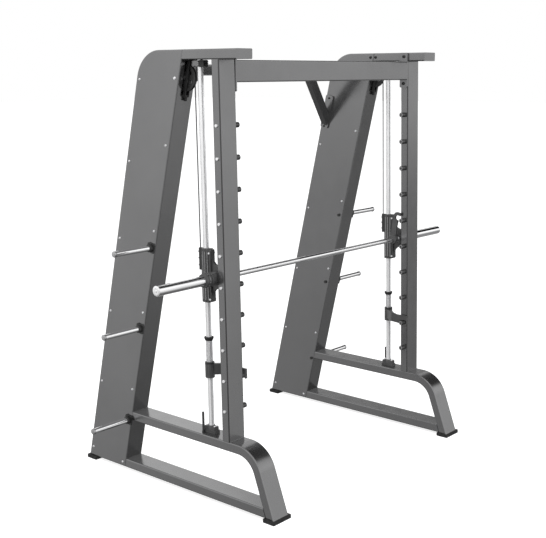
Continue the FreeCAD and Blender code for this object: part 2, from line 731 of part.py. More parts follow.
def safety_stops():
    bore = Part.makeCylinder(ROD_R + 0.4, 300.0, V(SIDE_MID, 0, 600.0))
    collar = Part.makeCylinder(24.0, STOP_TOP - STOP_LOW, V(SIDE_MID, 0, STOP_LOW))
    flutes = []
    for turn in range(12):
        angle = math.radians(30 * turn + 15)
        x = SIDE_MID + 24.5 * math.cos(angle)
        flutes.append(Part.makeCylinder(2.2, 54.0, V(x, 24.5 * math.sin(angle), STOP_LOW + 8)))
    collar = collar.cut(Part.makeCompound(flutes))
    save_pair("safety_stop", column(collar.fuse(stop_arm()).cut(bore).removeSplitter()))
    seat = Part.makeCylinder(24.0, SEAT_TOP - STOP_TOP - 0.4, V(SIDE_MID, 0, STOP_TOP + 0.4))
    save_pair("buffer_seat", column(seat.cut(bore)))


def dish(top):
    """Rubber cup with a flat top, narrower where it meets the spring."""
    bore = ROD_R + 0.4
    foot = top - BUMPER_TALL
    profile = [(bore, foot), (18.0, foot), (21.5, foot + 6.0), (24.0, top - 5.0), (24.0, top), (bore, top)]
    wire = Part.makePolygon([V(SIDE_MID + r, 0, z) for r, z in profile + profile[:1]])
    return column(Part.Face(wire).revolve(V(SIDE_MID, 0, 0), V(0, 0, 1), 360))


def coil(top):
    length = top - BUMPER_TALL - SEAT_TOP - 0.4
    sleeve = Part.makeCylinder(17.5, length, V(SIDE_MID, 0, SEAT_TOP))
    return column(sleeve.cut(Part.makeCylinder(ROD_R + 0.6, 200.0, V(SIDE_MID, 0, 700.0))))


def buffers():
    """The two buffers stand at different heights, so each side is made by itself."""
    save("buffer_spring_right", coil(BUMPER_TOP_RIGHT))
    save("bumper_right", dish(BUMPER_TOP_RIGHT))
    save("buffer_spring_left", mirrored(coil(BUMPER_TOP_LEFT)))
    save("bumper_left", mirrored(dish(BUMPER_TOP_LEFT)))


def frame_bolts():
    bolts = []
    for z in (2222.0, 2070.0):
        bolts.append(rod_x(712.0, 720.0, -338.0, z, 9.0))
    for y in (-133.0, -97.0):
        bolts.append(rod_x(723.0, SIDE_IN, y, 2220.0, 8.0))
    for p, q in BRACE_BOLTS:
        bolts.append(tower(rod_x(712.0, 720.0, p, q, 6.0)))
    bolts.append(rod_x(713.0, 720.0, -72.0, 2108.0, 7.0))
    save_group("frame_bolts", bolts)


os.makedirs("parts", exist_ok=True)
foot_pads()
base_rails()
uprights()
guide_rods()
rod_mounts()
top_rails()
front_crossbeam()
tower_crossbeams()
knee_braces()
tower_covers()
tower_sheets()
tower_frames()
weight_horns()
pulley_wheels()
pulley_brackets()
cables()
counterweights()
carriage_housings()
carriage_brackets()
bearings()
cable_anchors()
bar_assembly()
bar_hooks()
safety_stops()
buffers()
frame_bolts()
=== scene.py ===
import json
import math
import bmesh
import bpy
from mathutils import Matrix, Vector


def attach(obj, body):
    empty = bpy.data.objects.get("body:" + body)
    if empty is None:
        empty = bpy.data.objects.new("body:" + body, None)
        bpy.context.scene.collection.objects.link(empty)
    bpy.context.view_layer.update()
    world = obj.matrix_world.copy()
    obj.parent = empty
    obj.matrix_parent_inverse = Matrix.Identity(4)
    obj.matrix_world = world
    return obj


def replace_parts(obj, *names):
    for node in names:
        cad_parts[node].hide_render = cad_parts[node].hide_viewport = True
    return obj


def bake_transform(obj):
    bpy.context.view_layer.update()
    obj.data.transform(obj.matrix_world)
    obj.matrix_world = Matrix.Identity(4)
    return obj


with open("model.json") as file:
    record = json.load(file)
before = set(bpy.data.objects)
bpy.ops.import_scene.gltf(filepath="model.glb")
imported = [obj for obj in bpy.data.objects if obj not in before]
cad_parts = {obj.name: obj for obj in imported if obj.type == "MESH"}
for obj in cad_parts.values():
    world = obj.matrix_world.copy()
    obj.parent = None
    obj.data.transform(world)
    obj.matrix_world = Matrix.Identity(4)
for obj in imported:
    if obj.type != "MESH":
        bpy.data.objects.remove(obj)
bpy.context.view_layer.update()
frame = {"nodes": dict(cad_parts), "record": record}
nodes = frame["nodes"]
SIDES = (("left", -1), ("right", 1))

# Driving dimensions, metres: T is depth behind a guide rod, P is depth behind a tower's front
SIDE_IN = 0.730
SIDE_OUT = 0.842
SIDE_MID = 0.786
COLUMN_LEAN = math.radians(1.3)
ROD_FOOT_Y = -0.236
TOWER_LEAN = math.radians(12.95)
TOWER_FOOT_Y = 0.3894
TOWER_DEPTH = 0.292
PULLEY_Y = -0.092
PULLEY_Z = 2.112
CABLE_RADIUS = 0.058
CABLE_R = 0.003
CABLE_P = 0.062
CABLE_STEPS = 40
CABLE_SINK = 0.006
HOUSING_TOP = 1.290
HOUSING_R = 0.0205
RIB_LOW = 1.036
RIB_TOP = 1.276
COUNTER_TOP = 1.410
COUNTER_EYE = 0.020
BAR_Y = -0.294
BAR_Z = 1.1543
SLEEVE_IN = 0.865
SLEEVE_OUT = 1.202
HORNS = ((0.126, 1.262), (0.227, 0.824), (0.339, 0.300))
HORN_END = 1.092
SPRING_LOW = 0.716
SPRING_TOPS = {"left": 0.826, "right": 0.796}
SPRING_R = 0.0164
SPRING_WIRE = 0.00115
SPRING_PITCH = 0.0036
SPRING_GAP = 0.0020
SPRING_STEPS = 16
PULLEY_HALF = 0.013
PLATE_X = 0.720
PEG_COUNT = 10
PEG_TOP = 1.891
PEG_PITCH = 0.1544
PEG_T = -0.150
PEG_REACH = 0.035
FOOT_LOW = 0.3465
FOOT_MID = 0.362
HEAD_LOW = 2.162
FRONT_SCREWS = (1.785, 1.350, 0.912, 0.477, 0.043)
REAR_SCREWS = (2.104, 1.694, 1.288, 0.885, 0.475, 0.072)
SCREW_P = 0.024
SCREW_R = 0.0055
TOP_SCREW = (0.026, 2.109, 0.0075)
INNER_COVER_TOP = 2.100
KNURL_START = 0.18
KNURL_END = 0.62
WELD_X = 0.7195
BEAM_BEAD = 0.0026
TUBE_BEAD = 0.0024
POST_BEAD = 0.0022

# Paint, camera, lights and world
PAINT_TONE = 0.22
# Tone of the painted shade on the uprights' rounded corners, a dark line standing in for their reflection
PAINTED_CORNER_SHADE_TONE = 0.075
CAMERA_PLACE = (-4.2900, -3.6669, 2.1358)
CAMERA_LENS = 67.01
CAMERA_HEADING = math.radians(49.179)
CAMERA_DROP = math.radians(10.954)
CAMERA_ROLL = math.radians(-0.1742)
KEY_POWER = 200.0
TOP_POWER = 90.0

# World brightness by height, from straight down (0) to straight up (1)
WORLD_PEAK = 1.3
WORLD_STOPS = (
    (0.0, 0.14), (0.20, 0.18), (0.33, 0.70), (0.455, 1.0),
    (0.55, 1.0), (0.63, 1.30), (0.78, 0.95), (1.0, 0.80),
)

# Dark areas of the world: direction, inner and outer angle in degrees, brightness left, fade heights
OVERHEAD_FLAG = ((0.743, -0.08, 0.66), 18.0, 27.0, 0.0)
UNDER = (-0.02, -0.09)
OVER = (0.15, 0.24)
SIDE_FLAGS = (
    ((-0.63, -0.755, -0.20), 8.0, 20.0, 0.30, UNDER),
    ((0.93, -0.33, -0.17), 10.0, 27.0, 0.35, UNDER),
    ((-0.91, 0.39, -0.14), 9.0, 27.0, 0.62, UNDER),
    ((0.83, 0.50, 0.29), 5.0, 14.0, 0.25, OVER),
)


# ---- Places ----

def column_point(x, t, s):
    """t behind the guide rod's axis, s up along the rod."""
    y = ROD_FOOT_Y + t * math.cos(COLUMN_LEAN) + s * math.sin(COLUMN_LEAN)
    return Vector((x, y, s * math.cos(COLUMN_LEAN) - t * math.sin(COLUMN_LEAN)))


def column_at(x, t, z):
    """t behind the guide rod's axis, at height z."""
    return column_point(x, t, (z + t * math.sin(COLUMN_LEAN)) / math.cos(COLUMN_LEAN))


def tower_point(x, p, q):
    """p behind the tower's front, q up along its lean."""
    y = TOWER_FOOT_Y + p * math.cos(TOWER_LEAN) - q * math.sin(TOWER_LEAN)
    return Vector((x, y, p * math.sin(TOWER_LEAN) + q * math.cos(TOWER_LEAN)))


def tower_y(p, z):
    return TOWER_FOOT_Y + p / math.cos(TOWER_LEAN) - z * math.tan(TOWER_LEAN)


# ---- Materials ----

class Shader:
    """A principled material and short calls for the nodes that feed it."""

    def __init__(self, name, color, roughness, metallic=0.0, **sockets):
        self.material = bpy.data.materials.new(name)
        self.material.use_nodes = True
        self.tree = self.material.node_tree
        self.bsdf = self.tree.nodes["Principled BSDF"]
        self.bsdf.inputs["Base Color"].default_value = (*color, 1.0)
        self.bsdf.inputs["Roughness"].default_value = roughness
        self.bsdf.inputs["Metallic"].default_value = metallic
        for socket, value in sockets.items():
            self.bsdf.inputs[socket.replace("_", " ")].default_value = value
        self.coordinates = self.node("ShaderNodeTexCoord").outputs["Object"]

    def node(self, kind, **values):
        made = self.tree.nodes.new(kind)
        for key, value in values.items():
            setattr(made, key, value)
        return made

    def link(self, source, target):
        self.tree.links.new(source, target)

    def noise(self, scale, detail=3.0, stretch=None):
        made = self.node("ShaderNodeTexNoise")
        made.inputs["Scale"].default_value = scale
        made.inputs["Detail"].default_value = detail
        source = self.coordinates
        if stretch:
            mapping = self.node("ShaderNodeMapping")
            mapping.inputs["Scale"].default_value = stretch
            self.link(source, mapping.inputs["Vector"])
            source = mapping.outputs["Vector"]
        self.link(source, made.inputs["Vector"])
        return made.outputs["Fac"]

    def ramp(self, value, low, high):
        made = self.node("ShaderNodeMapRange")
        made.inputs["From Min"].default_value = 0.3
        made.inputs["From Max"].default_value = 0.7
        made.inputs["To Min"].default_value = low
        made.inputs["To Max"].default_value = high
        self.link(value, made.inputs["Value"])
        return made.outputs["Result"]

    def tint(self, value, dark, light):
        made = self.node("ShaderNodeMix", data_type="RGBA")
        self.link(self.ramp(value, 0.0, 1.0), made.inputs["Factor"])
        made.inputs[6].default_value = (*dark, 1.0)
        made.inputs[7].default_value = (*light, 1.0)
        self.link(made.outputs[2], self.bsdf.inputs["Base Color"])

    def paint_corner_shade(self, color):
        """Blend the base colour to this one where a face turns from X towards Y: painted shade, a dark
        line on rounded corners in place of their reflection.
        """
        split = self.node("ShaderNodeSeparateXYZ")
        self.link(self.node("ShaderNodeNewGeometry").outputs["Normal"], split.inputs["Vector"])
        product = self.node("ShaderNodeMath", operation="MULTIPLY")
        self.link(split.outputs["X"], product.inputs[0])
        self.link(split.outputs["Y"], product.inputs[1])
        size = self.node("ShaderNodeMath", operation="ABSOLUTE")
        self.link(product.outputs["Value"], size.inputs[0])
        turn = self.node("ShaderNodeMapRange")
        turn.inputs["From Min"].default_value = 0.08
        turn.inputs["From Max"].default_value = 0.30
        self.link(size.outputs["Value"], turn.inputs["Value"])
        made = self.node("ShaderNodeMix", data_type="RGBA")
        self.link(turn.outputs["Result"], made.inputs["Factor"])
        self.link(self.bsdf.inputs["Base Color"].links[0].from_socket, made.inputs[6])
        made.inputs[7].default_value = (*color, 1.0)
        self.link(made.outputs[2], self.bsdf.inputs["Base Color"])

    def rough(self, value, low, high):
        self.link(self.ramp(value, low, high), self.bsdf.inputs["Roughness"])

    def bump(self, value, strength, distance):
        made = self.node("ShaderNodeBump")
        made.inputs["Strength"].default_value = strength
        made.inputs["Distance"].default_value = distance
        self.link(value, made.inputs["Height"])
        self.link(made.outputs["Normal"], self.bsdf.inputs["Normal"])
        return self


def grey(value):
    return (value, value, value * 1.01)


def powder_coat(name="grey_powder_coat", corner_shade_tone=None):
    """Grey paint with a metallic base; the optional corner tone is painted shade on upright rounded edges.
    """
    paint = Shader(name, grey(PAINT_TONE), 0.20, 0.92)
    paint.tint(paint.noise(2.2, 4.0), grey(0.210), grey(0.230))
    if corner_shade_tone is not None:
        paint.paint_corner_shade(grey(corner_shade_tone))
    paint.rough(paint.noise(14.0), 0.18, 0.24)
    return paint.bump(paint.noise(520.0, 2.0), 0.04, 0.0002).material


def dark_casting():
    paint = Shader("dark_casting_paint", grey(0.05), 0.38, Specular_IOR_Level=0.6)
    paint.tint(paint.noise(11.0), grey(0.040), grey(0.062))
    paint.rough(paint.noise(35.0), 0.3, 0.46)
    return paint.bump(paint.noise(260.0, 4.0), 0.35, 0.0005).material


def black_paint():
    paint = Shader("black_paint", grey(0.016), 0.4)
    paint.tint(paint.noise(9.0), grey(0.012), grey(0.022))
    paint.rough(paint.noise(30.0), 0.32, 0.5)
    return paint.bump(paint.noise(600.0), 0.25, 0.0004).material


def black_rubber():
    rubber = Shader("black_rubber", grey(0.014), 0.75)
    rubber.tint(rubber.noise(18.0), grey(0.010), grey(0.020))
    rubber.rough(rubber.noise(40.0), 0.66, 0.85)
    return rubber.bump(rubber.noise(900.0), 0.4, 0.0004).material


def black_nylon():
    nylon = Shader("black_nylon", grey(0.018), 0.45)
    nylon.tint(nylon.noise(12.0), grey(0.014), grey(0.024))
    nylon.rough(nylon.noise(50.0), 0.38, 0.55)
    return nylon.bump(nylon.noise(700.0), 0.2, 0.0003).material


def dark_steel():
    steel = Shader("dark_peg_steel", grey(0.09), 0.34, 0.85)
    steel.tint(steel.noise(30.0, 4.0, (1.0, 6.0, 6.0)), grey(0.06), grey(0.12))
    steel.rough(steel.noise(60.0), 0.26, 0.42)
    return steel.bump(steel.noise(300.0, 2.0, (0.2, 1.0, 1.0)), 0.15, 0.0003).material


def chrome(name, stretch):
    plate = Shader(name, grey(0.86), 0.10, 1.0)
    plate.tint(plate.noise(6.0), grey(0.82), grey(0.9))
    plate.rough(plate.noise(25.0, 4.0, stretch), 0.07, 0.16)
    return plate.bump(plate.noise(260.0, 3.0, stretch), 0.06, 0.0002).material


def knurled_chrome():
    """The bar: plated, with a fine diamond knurl on the two grip lengths."""
    plate = Shader("chrome_bar", grey(0.86), 0.12, 1.0)
    split = plate.node("ShaderNodeSeparateXYZ")
    plate.link(plate.coordinates, split.inputs["Vector"])
    reach = plate.node("ShaderNodeMath", operation="ABSOLUTE")
    plate.link(split.outputs["X"], reach.inputs[0])
    inner = plate.node("ShaderNodeMath", operation="GREATER_THAN")
    plate.link(reach.outputs["Value"], inner.inputs[0])
    inner.inputs[1].default_value = KNURL_START
    outer = plate.node("ShaderNodeMath", operation="LESS_THAN")
    plate.link(reach.outputs["Value"], outer.inputs[0])
    outer.inputs[1].default_value = KNURL_END
    zone = plate.node("ShaderNodeMath", operation="MULTIPLY")
    plate.link(inner.outputs["Value"], zone.inputs[0])
    plate.link(outer.outputs["Value"], zone.inputs[1])
    waves = []
    for tilt in (math.radians(30), math.radians(-30)):
        mapping = plate.node("ShaderNodeMapping")
        mapping.inputs["Rotation"].default_value = (0.0, tilt, tilt)
        plate.link(plate.coordinates, mapping.inputs["Vector"])
        wave = plate.node("ShaderNodeTexWave")
        wave.inputs["Scale"].default_value = 160.0
        plate.link(mapping.outputs["Vector"], wave.inputs["Vector"])
        waves.append(wave.outputs["Fac"])
    cross = plate.node("ShaderNodeMath", operation="MULTIPLY")
    plate.link(waves[0], cross.inputs[0])
    plate.link(waves[1], cross.inputs[1])
    height = plate.node("ShaderNodeMath", operation="MULTIPLY")
    plate.link(cross.outputs["Value"], height.inputs[0])
    plate.link(zone.outputs["Value"], height.inputs[1])
    roughness = plate.node("ShaderNodeMapRange")
    plate.link(zone.outputs["Value"], roughness.inputs["Value"])
    roughness.inputs["To Min"].default_value = 0.10
    roughness.inputs["To Max"].default_value = 0.26
    plate.link(roughness.outputs["Result"], plate.bsdf.inputs["Roughness"])
    return plate.bump(height.outputs["Value"], 0.25, 0.0004).material


def bright_zinc():
    zinc = Shader("bright_zinc", grey(0.95), 0.24, 0.8)
    zinc.tint(zinc.noise(80.0), grey(0.88), grey(1.0))
    zinc.rough(zinc.noise(120.0), 0.22, 0.38)
    return zinc.bump(zinc.noise(500.0), 0.1, 0.0002).material


def plain_steel():
    steel = Shader("ground_steel", grey(0.45), 0.3, 1.0)
    steel.tint(steel.noise(20.0), grey(0.38), grey(0.52))
    steel.rough(steel.noise(60.0), 0.24, 0.4)
    return steel.bump(steel.noise(400.0), 0.1, 0.0002).material


def coated_cable():
    """Black jacket over twisted strands, which show as a faint winding wave."""
    rope = Shader("coated_cable", grey(0.04), 0.4)
    rope.tint(rope.noise(90.0), grey(0.03), grey(0.055))
    wave = rope.node("ShaderNodeTexWave", bands_direction="DIAGONAL")
    wave.inputs["Scale"].default_value = 90.0
    rope.link(rope.coordinates, wave.inputs["Vector"])
    rope.rough(rope.noise(200.0), 0.34, 0.48)
    return rope.bump(wave.outputs["Fac"], 0.3, 0.0004).material


def spring_wire():
    steel = Shader("spring_wire", grey(0.8), 0.32, 0.7)
    steel.tint(steel.noise(60.0), grey(0.74), grey(0.86))
    steel.rough(steel.noise(90.0), 0.26, 0.4)
    return steel.bump(steel.noise(500.0), 0.08, 0.0002).material


def satin_rod():
    """Ground and plated guide rod: softer and paler than the polished bar."""
    plate = Shader("chrome_satin_rod", grey(0.9), 0.16, 0.62)
    plate.tint(plate.noise(5.0), grey(0.86), grey(0.93))
    plate.rough(plate.noise(25.0, 4.0, (1.0, 1.0, 9.0)), 0.12, 0.22)
    return plate.bump(plate.noise(260.0, 3.0, (1.0, 1.0, 9.0)), 0.04, 0.0002).material


def cast_iron():
    iron = Shader("cast_iron", grey(0.05), 0.6, 0.6)
    iron.tint(iron.noise(12.0), grey(0.04), grey(0.08))
    iron.rough(iron.noise(40.0), 0.5, 0.72)
    return iron.bump(iron.noise(180.0), 0.5, 0.0008).material


MATERIALS = {
    "frame_paint": powder_coat(),
    "rubber_black": black_rubber(),
    "black_steel": black_paint(),
    "dark_casting": dark_casting(),
    "dark_steel": dark_steel(),
    "bright_screws": bright_zinc(),
    "chrome_bar": chrome("chrome_turned", (1.0, 1.0, 12.0)),
    "bearing_steel": plain_steel(),
    "pulley_black": black_nylon(),
    "cable_coat": coated_cable(),
    "spring_steel": spring_wire(),
    "weight_iron": cast_iron(),
}
SPECIAL = {"bar_shaft": knurled_chrome(), "guide_rod_left": satin_rod()}
SPECIAL["guide_rod_right"] = SPECIAL["guide_rod_left"]
# The uprights' paint carries painted shade on its rounded corners
SPECIAL["upright_left"] = powder_coat("grey_powder_coat_upright_corner_shade", PAINTED_CORNER_SHADE_TONE)
SPECIAL["upright_right"] = SPECIAL["upright_left"]


def dress_nodes():
    slots = {part["node"]: part["material_slot"] for part in frame["record"]["subparts"]}
    for name, node in nodes.items():
        material = SPECIAL[name] if name in SPECIAL else MATERIALS[slots[name]]
        node.data.materials.clear()
        node.data.materials.append(material)


# ---- Mesh helpers ----

def piece(name, bm, slot, body=None):
    mesh = bpy.data.meshes.new(name)
    bmesh.ops.recalc_face_normals(bm, faces=bm.faces)
    bm.to_mesh(mesh)
    bm.free()
    made = bpy.data.objects.new(name, mesh)
    bpy.context.scene.collection.objects.link(made)
    mesh.materials.append(MATERIALS[slot])
    mesh.shade_smooth()
    mesh.set_sharp_from_angle(angle=math.radians(35))
    if body:
        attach(made, body)
    return made


def add_rings(bm, rings):
    """Skins rings of points in order, and caps both ends."""
    made = [[bm.verts.new(p) for p in ring] for ring in rings]
    for low, high in zip(made, made[1:]):
        count = len(low)
        for i in range(count):
            j = (i + 1) % count
            bm.faces.new((low[i], low[j], high[j], high[i]))
    bm.faces.new(made[0])
    bm.faces.new(made[-1])


def circle(centre, axis, radius, count, shape):
    axis = axis.normalized()
    side = axis.orthogonal().normalized()
    if abs(axis.x) > 0.9:
        side = Vector((0, 1, 0))
    up = axis.cross(side)
    ring = []
    for i in range(count):
        angle = 2 * math.pi * i / count
        reach = radius
        if shape == "hex":
            wedge = (angle % (math.pi / 3)) - math.pi / 6
            reach = radius / math.cos(wedge)
        ring.append(centre + (side * math.cos(angle) + up * math.sin(angle)) * reach)
    return ring


def rounds(*rings):
    return [(radius, height, "round") for radius, height in rings]


def hexes(*rings):
    return [(radius, height, "hex") for radius, height in rings]


def add_lathe(bm, base, axis, profile, count=24):
    """profile: (radius, height, shape) from the foot to the last ring."""
    axis = axis.normalized()
    add_rings(bm, [circle(base + axis * h, axis, r, count, shape) for r, h, shape in profile])


def add_tube(bm, points, radius, count=12):
    rings = []
    normal = None
    for i, point in enumerate(points):
        before = points[max(i - 1, 0)]
        after = points[min(i + 1, len(points) - 1)]
        along = (after - before).normalized()
        if normal is None:
            normal = along.orthogonal().normalized()
        normal = (normal - along * normal.dot(along)).normalized()
        other = along.cross(normal)
        ring = []
        for k in range(count):
            angle = 2 * math.pi * k / count
            ring.append(point + (normal * math.cos(angle) + other * math.sin(angle)) * radius)
        rings.append(ring)
    add_rings(bm, rings)


# ---- Screws and bolts ----

def add_button_head(bm, base, axis, radius, height):
    """A domed head with a hexagonal socket."""
    socket = radius * 0.42
    profile = rounds((radius * 0.96, 0.0), (radius, height * 0.18))
    for step in range(1, 5):
        turn = math.radians(18 * step)
        reach = radius * (0.62 + 0.38 * math.cos(turn))
        profile += rounds((reach, height * (0.18 + 0.82 * math.sin(turn))))
    profile += rounds((socket * 1.2, height))
    profile += hexes((socket * 1.02, height * 0.97), (socket, height * 0.35))
    add_lathe(bm, base, axis, profile)


def cover_spots():
    """Depth, height and head radius of each screw in a tower cover."""
    spots = [(tower_y(SCREW_P, z), z, SCREW_R) for z in FRONT_SCREWS]
    spots += [(tower_y(TOWER_DEPTH - SCREW_P, z), z, SCREW_R) for z in REAR_SCREWS]
    p, z, radius = TOP_SCREW
    spots.append((tower_y(p, z), z, radius))
    return spots


def make_cover_screws():
    """Screws in both faces of each tower, except near the top of the inner face."""
    bm = bmesh.new()
    for _, way in SIDES:
        for y, z, radius in cover_spots():
            faces = [(way * SIDE_OUT, Vector((way, 0, 0)))]
            if z < INNER_COVER_TOP:
                faces.append((way * SIDE_IN, Vector((-way, 0, 0))))
            for x, out in faces:
                place = Vector((x, y, z))
                rim = radius * 1.12
                add_lathe(bm, place, out, rounds((rim, 0.0), (rim, 0.0008)))
                add_button_head(bm, place + out * 0.0006, out, radius, 0.0045)
    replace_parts(piece("cover_button_screws", bm, "bright_screws", "frame"), "cover_screws")


def make_frame_bolts():
    """Domed black heads in place of the CAD model's plain frame bolts."""
    bm = bmesh.new()
    for _, way in SIDES:
        plate = way * PLATE_X
        inward = Vector((-way, 0, 0))
        for z in (2.222, 2.070):
            add_button_head(bm, Vector((plate, -0.338, z)), inward, 0.009, 0.0075)
        for y in (-0.133, -0.097):
            add_button_head(bm, Vector((way * SIDE_IN, y, 2.220)), inward, 0.008, 0.0065)
        for q in (1.796, 1.971):
            add_button_head(bm, tower_point(plate, 0.260, q), inward, 0.006, 0.0065)
        add_button_head(bm, Vector((plate, -0.072, 2.108)), inward, 0.007, 0.0065)
    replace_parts(piece("frame_button_bolts", bm, "black_steel", "frame"), "frame_bolts")


# ---- Springs and cables ----

def make_springs():
    for side, way in SIDES:
        top = SPRING_TOPS[side]
        bm = bmesh.new()
        turns = round((top - SPRING_LOW) / SPRING_PITCH)
        points = []
        for i in range(turns * SPRING_STEPS + 1):
            along = i / (turns * SPRING_STEPS)
            angle = 2 * math.pi * turns * along
            x = way * SIDE_MID + SPRING_R * math.cos(angle)
            s = SPRING_LOW + SPRING_GAP + (top - SPRING_LOW - 2 * SPRING_GAP) * along
            points.append(column_point(x, SPRING_R * math.sin(angle), s))
        add_tube(bm, points, SPRING_WIRE, 6)
        coil = piece("buffer_coil_" + side, bm, "spring_steel")
        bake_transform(coil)
        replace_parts(coil, "buffer_spring_" + side)


def straight(start, end):
    return [start.lerp(end, i / CABLE_STEPS) for i in range(CABLE_STEPS + 1)]


def make_cables():
    """Front run, pulley wrap and rear run of each cable."""
    for side, way in SIDES:
        x = way * SIDE_MID
        centre = Vector((x, PULLEY_Y, PULLEY_Z))
        front_angle = math.pi - COLUMN_LEAN
        rear_angle = TOWER_LEAN
        arc = []
        for i in range(CABLE_STEPS + 1):
            angle = front_angle + (rear_angle - front_angle) * i / CABLE_STEPS
            arc.append(centre + Vector((0, math.cos(angle), math.sin(angle))) * CABLE_RADIUS)
        front, rear = arc[0], arc[-1]
        down = Vector((0, -math.sin(COLUMN_LEAN), -math.cos(COLUMN_LEAN)))
        foot = front + down * ((front.z - HOUSING_TOP + CABLE_SINK) / math.cos(COLUMN_LEAN))
        back = Vector((0, math.sin(TOWER_LEAN), -math.cos(TOWER_LEAN)))
        hang_z = tower_point(x, CABLE_P, COUNTER_TOP + COUNTER_EYE).z
        hang = rear + back * ((rear.z - hang_z) / math.cos(TOWER_LEAN))
        bm = bmesh.new()
        add_tube(bm, arc, CABLE_R)
        wrap = piece("cable_wrap_" + side, bm, "cable_coat", "frame")
        bm = bmesh.new()
        add_tube(bm, straight(foot, front), CABLE_R)
        front_run = piece("cable_front_" + side, bm, "cable_coat")
        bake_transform(front_run)
        bm = bmesh.new()
        add_tube(bm, straight(hang, rear), CABLE_R)
        rear_run = piece("cable_rear_" + side, bm, "cable_coat")
        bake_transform(rear_run)
        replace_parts(wrap, "cable_" + side)


# ---- Rod mounts ----

def tilted_block(bm, x, t, s, half_x, half_t, height, bevel):
    """A block standing on the rod's lean, with its upright edges and top rim bevelled."""
    rings = []
    for inset, rise in ((0.0, 0.0), (0.0, height - bevel), (bevel, height)):
        a = half_x - inset
        b = half_t - inset
        c = bevel
        outline = [(a - c, -b), (a, -b + c), (a, b - c), (a - c, b)]
        outline += [(-a + c, b), (-a, b - c), (-a, -b + c), (-a + c, -b)]
        rings.append([column_point(x + u, t + v, s + rise) for u, v in outline])
    add_rings(bm, rings)


def make_rod_feet():
    """A ribbed clamp with four screws at each rod's foot, and a stud behind it."""
    for side, way in SIDES:
        x = way * SIDE_MID
        bm = bmesh.new()
        tilted_block(bm, x, 0.0, FOOT_LOW, 0.018, 0.040, 0.016, 0.0015)
        for t in (-0.025, 0.0, 0.025):
            tilted_block(bm, x, t, FOOT_MID, 0.0165, 0.0105, 0.020, 0.0025)
        for t in (-0.0125, 0.0125):
            tilted_block(bm, x, t, FOOT_MID, 0.013, 0.004, 0.014, 0.001)
        up = column_point(x, 0, 1) - column_point(x, 0, 0)
        collar = rounds((0.0192, 0.0), (0.0192, 0.022), (0.0175, 0.0245))
        add_lathe(bm, column_point(x, 0, FOOT_MID), up, collar)
        foot = piece("rod_foot_clamp_" + side, bm, "dark_casting", "frame")
        bm = bmesh.new()
        for t in (-0.028, 0.028):
            for u in (-0.008, 0.008):
                add_button_head(bm, column_point(x + u, t, 0.3815), up, 0.0052, 0.0055)
        piece("rod_foot_bolts_" + side, bm, "bright_screws", "frame")
        bm = bmesh.new()
        stud = column_point(x + way * 0.023, 0.036, 0.349)
        profile = hexes((0.008, 0.0), (0.008, 0.006))
        profile += rounds((0.0062, 0.0061), (0.0062, 0.102), (0.0050, 0.1045))
        add_lathe(bm, stud, up, profile, 18)
        piece("rail_stud_" + side, bm, "black_steel", "frame")
        if side == "left":
            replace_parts(foot, "rod_mounts")


def make_rod_heads():
    """A black clamp in front of each rod's head and a grey hanger behind it."""
    bm = bmesh.new()
    for _, way in SIDES:
        x = way * SIDE_MID
        tilted_block(bm, x, -0.019, HEAD_LOW, 0.016, 0.0185, 0.032, 0.0015)
        for s in (2.167, 2.176, 2.185):
            tilted_block(bm, x, -0.019, s, 0.0172, 0.0197, 0.004, 0.0008)
        for u in (-0.007, 0.007):
            front = column_point(x + u, -0.0385, 2.178)
            add_button_head(bm, front, Vector((0, -1, 0)), 0.0042, 0.0035)
    piece("rod_head_clamps", bm, "black_steel", "frame")
    bm = bmesh.new()
    for _, way in SIDES:
        x = way * SIDE_MID
        tilted_block(bm, x, 0.0225, 2.168, 0.015, 0.0215, 0.026, 0.0015)
        for t in (0.012, 0.033):
            tilted_block(bm, x, t, 2.165, 0.0158, 0.0035, 0.028, 0.0008)
    piece("rod_head_hangers", bm, "frame_paint", "frame")


# ---- Small fittings ----

def make_axle_nuts():
    bm = bmesh.new()
    for _, way in SIDES:
        for turn in (-1, 1):
            base = Vector((way * SIDE_MID + turn * PULLEY_HALF, PULLEY_Y, PULLEY_Z))
            out = Vector((turn, 0, 0))
            add_lathe(bm, base, out, rounds((0.014, 0.0), (0.014, 0.0012)))
            nut = hexes((0.0105, 0.0), (0.0105, 0.0052)) + rounds((0.0085, 0.0062))
            add_lathe(bm, base + out * 0.0012, out, nut)
            tip = rounds((0.0060, 0.0), (0.0060, 0.0026), (0.0048, 0.0036))
            add_lathe(bm, base + out * 0.0072, out, tip)
    piece("pulley_axle_nuts", bm, "black_steel", "frame")


def make_horn_caps():
    profile = rounds((0.0142, 0.0), (0.0158, 0.0010), (0.0158, 0.0085), (0.0145, 0.0115), (0.0110, 0.0125))
    bm = bmesh.new()
    for _, way in SIDES:
        for y, z in HORNS:
            out = Vector((way, 0, 0))
            base = Vector((way * (HORN_END - 0.010), y, z))
            add_lathe(bm, base, out, profile)
    piece("horn_end_caps", bm, "bearing_steel", "frame")


